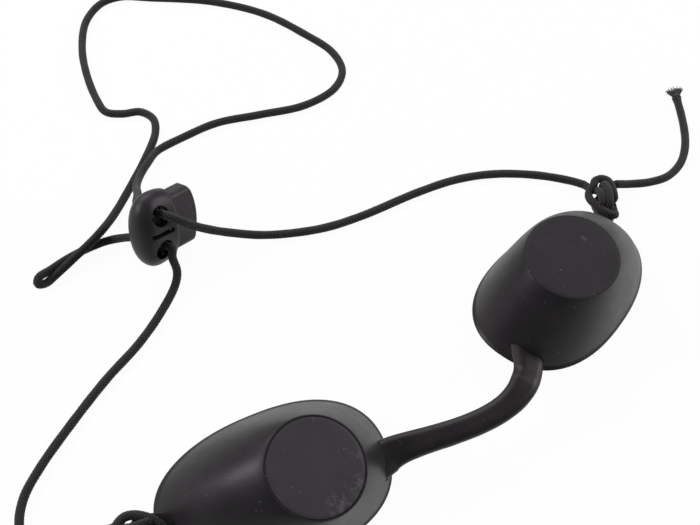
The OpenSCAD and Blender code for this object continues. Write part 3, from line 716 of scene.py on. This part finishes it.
def lug_object(side):
    """A plate with a round end, a slot for the cord and softened edges."""
    n = 96
    around = np.arange(n)*2*math.pi/n
    c, s = np.cos(around), np.sin(around)

    def outline(inset):
        """A round end that narrows to a smaller round neck, as far as a line from the middle reaches."""
        r, neck, back = LUG_R - inset, LUG_NECK - inset, LUG_ROOT[side] - LUG_NECK
        reach = np.full(n, r)
        for i, (a, b) in enumerate(zip(c, np.abs(s))):
            slope = math.asin((r - neck)/back)
            touch = math.pi/2 + slope
            if math.acos(max(min(a, 1), -1)) > touch:
                foot = -a*back
                off = b*back
                round_end = foot + math.sqrt(max(neck*neck - off*off, 0)) if off < neck else 0
                line = r/max(b*math.cos(slope) - a*math.sin(slope), 1e-6)
                past = line*-a > back + neck*math.sin(slope)
                reach[i] = round_end if past and round_end else line
        return np.stack([reach*c, reach*s], 1)

    def slot(grow):
        """A slot with round ends, which lies across the lug."""
        r, reach = SLOT_R + grow, []
        for a, b in zip(c, s):
            wall = r/max(abs(a), 1e-6)
            if wall*abs(b) > SLOT_HALF:
                d = SLOT_HALF*abs(b)
                wall = d + math.sqrt(max(d*d - SLOT_HALF*SLOT_HALF + r*r, 0))
            reach.append(wall)
        reach = np.array(reach)
        return np.stack([reach*c, reach*s], 1)

    low = [LUG_EDGE*(1 - math.cos(k*math.pi/8)) for k in range(5)]
    high = [LUG_EDGE*(1 - math.sin(k*math.pi/8)) for k in range(5)]
    rows = [(outline(b), LUG_RISE + a) for a, b in zip(low, high)]
    rows += [(outline(a), LUG_RISE + LUG_THICK - b) for a, b in zip(low, high)]
    rows += [(slot(b), LUG_RISE + LUG_THICK - a) for a, b in zip(low, high)]
    rows += [(slot(a), LUG_RISE + b) for a, b in zip(low, high)]
    heading = math.radians(LUG_HEADING[side])
    rings = []
    for flat, z in rows:
        x = flat[:, 0]*math.cos(heading) - flat[:, 1]*math.sin(heading) + LUG_AT[side][0]
        y = flat[:, 0]*math.sin(heading) + flat[:, 1]*math.cos(heading) + LUG_AT[side][1]
        rings.append(np.column_stack([x, y, np.full(n, z)]))
    return place_on_cup(loft("lug", rings, closed=True), side)


def place_on_cup(obj, side):
    """Takes a mesh from the cup's own place to the shared frame."""
    for v in obj.data.vertices:
        v.co = to_world(side, v.co)
    return outward(obj)


# ---------------------------------------------------------------- the bridge's line and sections
BW, WAIST, BT, BEVEL = 7.4, 5.2, 2.4, 1.1  # width at the ends and in the middle, thickness, bevel
LEFT_ROOT, RIGHT_ROOT = to_world(-1, (-23.6, -2.6, 3.2)), to_world(1, (-23, -4.9, 3.1))
LEFT_WAY = np.array([math.cos(math.radians(3)), math.sin(math.radians(3)), 0])
RIGHT_WAY = np.array([math.cos(math.radians(56)), math.sin(math.radians(56)), 0])
PULL_LEFT, PULL_RIGHT, TWIST = 23.0, 52.0, 12.0
BARB = WALL/2 + 4.8  # how far past the root the barb starts


def bridge_point(t):
    """The strap's middle line, from the left root at t = 0 to the right one at 1."""
    return ((2*t**3 - 3*t*t + 1)*LEFT_ROOT + (t**3 - 2*t*t + t)*PULL_LEFT*LEFT_WAY
            + (3*t*t - 2*t**3)*RIGHT_ROOT + (t**3 - t*t)*PULL_RIGHT*RIGHT_WAY)


def bridge_tangent(t):
    return unit((6*t*t - 6*t)*LEFT_ROOT + (3*t*t - 4*t + 1)*PULL_LEFT*LEFT_WAY
                + (6*t - 6*t*t)*RIGHT_ROOT + (3*t*t - 2*t)*PULL_RIGHT*RIGHT_WAY)


def cup_normal(side):
    q = CUP_TURN[side] @ np.array([0, 0, 1.0])
    return np.array([side*q[0], q[1], q[2]])


def bridge_up(t):
    """The way the strap's top faces."""
    w = bridge_tangent(t)
    n = (1 - t)*cup_normal(-1) + t*cup_normal(1)
    u = unit(n - (n @ w)*w)
    a = math.radians(TWIST*t)
    return u*math.cos(a) + np.cross(w, u)*math.sin(a)


def sinking(t):
    """How much lower the strap's top lies where it goes into the right cup, in mm."""
    return 0.85*smooth_step((t - 0.84)/0.1)


def smooth_step(x):
    x = min(max(x, 0.0), 1.0)
    return x*x*(3 - 2*x)


def section(p, w, u, width, thick, flash=0.0, sink=0.0):
    """The strap's cross-section, its corners cut twice so that they are soft.

    w is the way along and u the way up, flash is the seam's width at both edges, and sink is how much
    lower the top lies.
    """
    s = np.cross(u, w)
    a, h, b = width/2, thick/2, BEVEL
    q = np.array([[-a, -h + 0.3], [-a + 0.3, -h], [0, -h], [a - 0.3, -h], [a, -h + 0.3],
                  [a + flash, -h + 0.55], [a + flash, -h + 0.75], [a, h - b], [a - 0.3*b, h - 0.45*b],
                  [a - b, h - 0.1*b], [a - 1.5*b, h], [0, h], [-a + 1.5*b, h], [-a + b, h - 0.1*b],
                  [-a + 0.3*b, h - 0.45*b], [-a, h - b], [-a - flash, -h + 0.75], [-a - flash, -h + 0.55]])
    for _ in range(2):
        after = np.roll(q, -1, axis=0)
        q = np.stack([q*0.8 + after*0.2, q*0.2 + after*0.8], 1).reshape(-1, 2)
    if sink:
        top = np.clip((q[:, 1] + h)/(2*h), 0, 1)
        side_share = np.clip((np.sign(s[1])*q[:, 0] - 0.2*a)/(0.8*a), 0, 1)
        q[:, 1] -= sink*top*(1 + 1.3*side_share**2)
        q[:, 0] -= 0.5*sink*side_share*np.sign(s[1])
    return p + q[:, :1]*s + q[:, 1:]*u


def bridge_width(t):
    return WAIST + (BW - WAIST)*abs(2*t - 1)**2.4


def barb_sections(end):
    """The strap's end beyond its root: first as the slot holds it, then the barb inside the cup."""
    root, way, t_end = (RIGHT_ROOT, RIGHT_WAY, 1.0) if end > 0 else (LEFT_ROOT, LEFT_WAY, 0.0)
    up = bridge_up(t_end)
    rows = [(BARB - 0.1, BW, BT), (BARB, BW, BT), (BARB + 0.08, BW - 0.2, BT), (BARB + 0.1, BW - 3, 3.9),
            (BARB + 0.2, BW - 3, 4), (BARB + 0.6, BW - 3, 4), (BARB + 2.1, BW - 3.1, BT*0.85),
            (BARB + 2.2, BW - 3.4, BT*0.7)]
    return [section(root + end*d*way, way, up, wide, thick, sink=sinking(t_end) if d <= BARB else 0)
            for d, wide, thick in rows]


def bridge_object():
    rings = barb_sections(-1)[::-1]
    steps = 110
    for i in range(steps + 1):
        t = i/steps
        flash = 0.1*max(0.0, noise((t*21, 1.7, 0.4)) + 0.25)*math.sin(math.pi*t)
        rings.append(section(bridge_point(t), bridge_tangent(t), bridge_up(t), bridge_width(t), BT,
                             flash, sink=sinking(t)))
    return outward(loft("nose_strap", rings + barb_sections(1), 32))


def slot_cutter(side):
    """The slot in a cup's wall follows the strap, 0.1 mm larger all round."""
    p, w, t_end = (RIGHT_ROOT, RIGHT_WAY, 1.0) if side > 0 else (LEFT_ROOT, LEFT_WAY, 0.0)
    rings = []
    for i in range(6):
        t = 0.7 + 0.06*i if side > 0 else 0.3 - 0.06*i
        rings.append(section(bridge_point(t), bridge_tangent(t), bridge_up(t), bridge_width(t) + 0.2,
                             BT + 0.2, sink=sinking(t)))
    rings.append(section(p + side*(BARB + 0.4)*w, w, bridge_up(t_end), BW + 0.6, BT + 0.6,
                         sink=sinking(t_end)))
    return outward(loft("cutter", rings))


def cup_object(side, name):
    if side > 0:
        rings = cup_rings(SEAT_R + 0.2, 0.02, SEAT_R + 0.3)
    else:
        rings = cup_rings(SEAT_R, 0.07, SEAT_R + 0.35)
    cup = place_on_cup(loft(name, rings, 32, closed=True), side)
    combine(cup, lug_object(side), "UNION")
    combine(cup, slot_cutter(side), "DIFFERENCE")
    cup.data.name = name
    shade(cup, 32)
    return cup


def disc_object(side, name):
    """A disc of radius r and height h with its edge rounded by c, which nearly fills its seat."""
    r, h, c = (SEAT_R + 0.19, DISC_H - 0.12, 0.05) if side > 0 else (SEAT_R - 0.08, DISC_H - 0.06, 0.1)
    rows = [(0.02, 0), (r - 0.15, 0), (r - 0.04, 0.04), (r, 0.15), (r, h - c - 0.04), (r - 0.03, h - c),
            (r - c + 0.02, h - 0.03), (r - c - 0.06, h), (r - 0.9, h), (r*0.5, h + 0.01), (0.02, h + 0.012)]
    rings = [seat_ring(radius, SEAT_DEPTH - z) for radius, z in rows]
    return place_on_cup(loft(name, rings, 32), side)


for side, word in ((-1, "left"), (1, "right")):
    body = word + "_side"
    cup = finish_piece(to_metres(cup_object(side, word + "_eye_cup")), CUP_MAT)
    disc = finish_piece(to_metres(disc_object(side, word + "_eye_disc")), DISC_MAT if side > 0 else LIGHTER_SCUFFED_DISC_MAT)
    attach(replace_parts(cup, word + "_cup"), body)
    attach(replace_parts(disc, word + "_disc"), body)

strap = finish_piece(to_metres(bridge_object()), BRIDGE_MAT)
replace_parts(strap, "nose_bridge")
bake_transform(strap)


# ---------------------------------------------------------------- the cord lock, in its own place
DOME, LIP = 4.4, 0.7            # depth of the round back, and of the front edge that draws in
WIDEST, BULGE = 0.6, 1.05       # where the lock is longest, and by what factor
WIDE_SLIDE, TONGUE = 14.4, 9.4  # lengths of the button's two steps
SLIDE_THICK, SLIDE_CORNER, SLIDE_GAP = 4.8, 1.5, 0.2
REACH, END_ROUND = 12.2, 17.0   # the button's end, and the radius it is rounded with
CAVITY_END = -LOCK_BACK + 1.4
SLIDE_END = CAVITY_END + TRAVEL + 0.3
TONGUE_END = SLIDE_END + 1.2


def lock_size(x):
    """Shares of the lock's thickness and of its length, so that it is an oval from the front."""
    thick = 1.0
    if x < DOME - LOCK_BACK:
        thick = max(1 - ((DOME - LOCK_BACK - x)/DOME)**2.2, 0)**(1/2.2)
    if x > LOCK_FRONT - LIP:
        thick = 1 - 0.06*((x - LOCK_FRONT + LIP)/LIP)**2
    if x < WIDEST:
        long = BULGE*max(1 - ((WIDEST - x)/(WIDEST + LOCK_BACK))**2.3, 0)**(1/2.3)
    else:
        long = BULGE*(1 - 0.09*((x - WIDEST)/(LOCK_FRONT - WIDEST))**2)
    return thick, long


def lock_ring(x):
    n = 120
    thick, long = lock_size(x)
    rows = []
    for i in range(n):
        a = 2*math.pi*i/n
        r = (abs(math.cos(a))**2.2 + abs(math.sin(a))**2.2)**(-1/2.2)
        rows.append([x, LOCK_THICK/2*thick*math.cos(a)*r, LOCK_LENGTH/2*long*math.sin(a)*r])
    return np.array(rows)


def bar(outline, low, high, axis):
    """A prism through an outline, along x or y of the lock."""
    rings = []
    for d in (low, high):
        rings.append(np.array([(d, a, b) if axis == "x" else (a, d, b) for a, b in outline]))
    return outward(loft("cutter", rings))


def circle(x, z, r, n=56):
    return [(x + r*math.cos(2*math.pi*k/n), z + r*math.sin(2*math.pi*k/n)) for k in range(n)]


def slide_outline(length, gap):
    """The button's outline from the front, larger all round by gap."""
    r = SLIDE_CORNER
    y, z = SLIDE_THICK/2 + gap - r, length/2 + gap - r
    return [(sy*y + r*math.cos(math.radians(q + k*11.25)), sz*z + r*math.sin(math.radians(q + k*11.25)))
            for sy, sz, q in ((1, 1, 0), (-1, 1, 90), (-1, -1, 180), (1, -1, 270)) for k in range(9)]


def in_lock(obj):
    """Takes a mesh from the lock's own place to the shared frame."""
    for v in obj.data.vertices:
        v.co = LOCK_TURN @ np.array(v.co) + LOCK_AT
    obj.data.update()
    return obj


def lock_body_object():
    places = [-LOCK_BACK + DOME*(1 - math.cos(math.radians(90*k/23))) for k in range(1, 24)]
    places += [-0.4, 0.1, 0.6, 1.3, 2.0, 2.7, 3.4, LOCK_FRONT - LIP, LOCK_FRONT - 0.4, LOCK_FRONT - 0.2,
               LOCK_FRONT]
    body = outward(loft("lock_shell", [lock_ring(x) for x in places]))
    for length, start in ((TONGUE, CAVITY_END), (WIDE_SLIDE, TONGUE_END - TRAVEL - 0.3)):
        combine(body, bar(slide_outline(length, SLIDE_GAP), start, LOCK_FRONT + 1, "x"), "DIFFERENCE")
    for z in (-PITCH/2, PITCH/2):
        combine(body, bar(circle(0, z, HOLE/2), -LOCK_THICK, LOCK_THICK, "y"), "DIFFERENCE")
    window = [(-3.2, -0.55), (3.2, -0.55), (3.2, 0.55), (-3.2, 0.55)]  # the slot that the nib runs in
    combine(body, bar(window, -LOCK_THICK, 0, "y"), "DIFFERENCE")
    return soften(body, 0.12, 0.5, 4)


def end_arc(x, angle, n):
    """Points on the button's round end, or inside it, that has its top at x."""
    return [(x - END_ROUND + END_ROUND*math.cos(math.radians(a)), END_ROUND*math.sin(math.radians(a)))
            for a in np.linspace(-angle, angle, n)]


def button_object():
    button = bar(slide_outline(WIDE_SLIDE, 0.0), TONGUE_END, REACH + 1, "x")
    arc = end_arc(REACH, 33, 67)
    arc += [(TONGUE_END - 1, arc[-1][1]), (TONGUE_END - 1, arc[0][1])]
    combine(button, bar(arc, -6, 6, "y"), "INTERSECT")
    combine(button, bar(slide_outline(TONGUE, 0.0), SLIDE_END, TONGUE_END + 0.5, "x"), "UNION")
    for z in (-PITCH/2, PITCH/2):
        combine(button, bar(circle(TRAVEL, z, HOLE/2), -6, 6, "y"), "DIFFERENCE")
    spring_bore = bar(circle(0, 0, 1.4, 32), SLIDE_END - 1, SLIDE_END + 4.6, "x")
    combine(button, spring_bore, "DIFFERENCE")
    grooves, step, width, depth, half = 6, 0.8, 0.35, 0.04, 5.6
    for face in (-1, 1):
        for i in range(grooves):
            fan = end_arc(REACH - 1.1 - i*step + width/2, math.degrees(math.asin(half/END_ROUND)), 31)
            fan += [(x - width, z) for x, z in reversed(fan)]
            combine(button, bar(fan, *sorted((face*(SLIDE_THICK/2 - depth), face*4.0)), "y"), "DIFFERENCE")
    nib = [(2.0, -0.4), (3.0, -0.4), (3.0, 0.4), (2.0, 0.4)]
    combine(button, bar(nib, -3.7, -1.9, "y"), "UNION")
    return soften(button, 0.09, 0.5, 2)


body = finish_piece(to_metres(in_lock(lock_body_object())), LOCK_MAT)
body.name = "lock_shell"
button = finish_piece(to_metres(in_lock(button_object())), BUTTON_MAT)
button.name = "lock_press_button"
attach(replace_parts(body, "lock_body"), "left_side")
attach(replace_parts(button, "lock_button"), "button")
for part in (body, button):
    shade(part, 70)
finish_piece(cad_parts["lock_spring"], STEEL)
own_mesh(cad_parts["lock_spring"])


# ---------------------------------------------------------------- what the cords ride on
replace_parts(right_tail, "right_tail")
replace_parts(right_knot, "right_knot")
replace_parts(right_strand, "right_strand")
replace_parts(back_loop, "back_loop")
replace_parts(left_strand, "left_strand")
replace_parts(left_knot, "left_knot")
for piece in (right_tail, right_knot, frayed_end):
    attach(piece, "right_side")
for piece in (back_loop, left_strand, left_knot):
    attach(piece, "left_side")
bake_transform(right_strand)


# ---------------------------------------------------------------- floor, light and world
def add_floor():
    """A floor that looks white to the camera and in reflections, and still takes a faint shadow."""
    mesh = bpy.data.meshes.new("floor")
    r = 4.0
    mesh.from_pydata([(-r, -r, 0), (r, -r, 0), (r, r, 0), (-r, r, 0)], [], [(0, 1, 2, 3)])
    floor = new_object("floor", mesh)
    mat = material("floor_white", (0.86, 0.86, 0.86), 0.9, 0.1)
    g = Graph(mat)
    rays = g.node("LightPath").outputs
    seen = g.math("ADD", rays["Is Camera Ray"], rays["Is Glossy Ray"], clamp=True)
    seen = g.math("ADD", seen, rays["Is Transmission Ray"], clamp=True)
    mix = g.node("MixShader")
    g.link(g.math("MULTIPLY", seen, 0.96), mix.inputs[0])  # the rest shows the object's shadow
    g.link(g.shader.outputs[0], mix.inputs[1])
    g.link(g.node("Emission").outputs[0], mix.inputs[2])
    g.link(mix.outputs[0], g.tree.nodes["Material Output"].inputs["Surface"])
    mesh.materials.append(mat)


def add_lamp(name, place, target, size, power):
    data = bpy.data.lights.new(name, "AREA")
    data.shape, data.size, data.size_y, data.energy = "RECTANGLE", size[0], size[1], power
    lamp = bpy.data.objects.new(name, data)
    bpy.context.scene.collection.objects.link(lamp)
    lamp.location = Vector(place)
    lamp.rotation_mode = "QUATERNION"
    lamp.rotation_quaternion = (Vector(target) - Vector(place)).to_track_quat("-Z", "Y")


def add_world():
    """Dim light from all round, in front of a white background."""
    world = bpy.data.worlds.new("studio")
    bpy.context.scene.world = world
    world.use_nodes = True
    tree = world.node_tree
    light = tree.nodes["Background"]
    light.inputs["Color"].default_value = (0.9, 0.92, 0.95, 1)
    light.inputs["Strength"].default_value = 0.23
    white = tree.nodes.new("ShaderNodeBackground")
    white.inputs["Color"].default_value = (1, 1, 1, 1)
    path = tree.nodes.new("ShaderNodeLightPath")
    mix = tree.nodes.new("ShaderNodeMixShader")
    tree.links.new(path.outputs["Is Camera Ray"], mix.inputs[0])
    tree.links.new(light.outputs[0], mix.inputs[1])
    tree.links.new(white.outputs[0], mix.inputs[2])
    tree.links.new(mix.outputs[0], tree.nodes["World Output"].inputs["Surface"])


add_floor()
add_world()
add_lamp("back", (0.15, 0.75, 0.6), (0.0, 0.03, 0.0), (0.9, 0.35), 5.6)
add_lamp("left", (-0.6, 0.48, 0.5), (0.0, 0.03, 0.0), (0.14, 0.3), 3.9)
add_lamp("right", (0.7, -0.25, 0.35), (0.0, 0.03, 0.0), (0.5, 0.35), 4.2)

bpy.context.scene.view_settings.view_transform = "Standard"
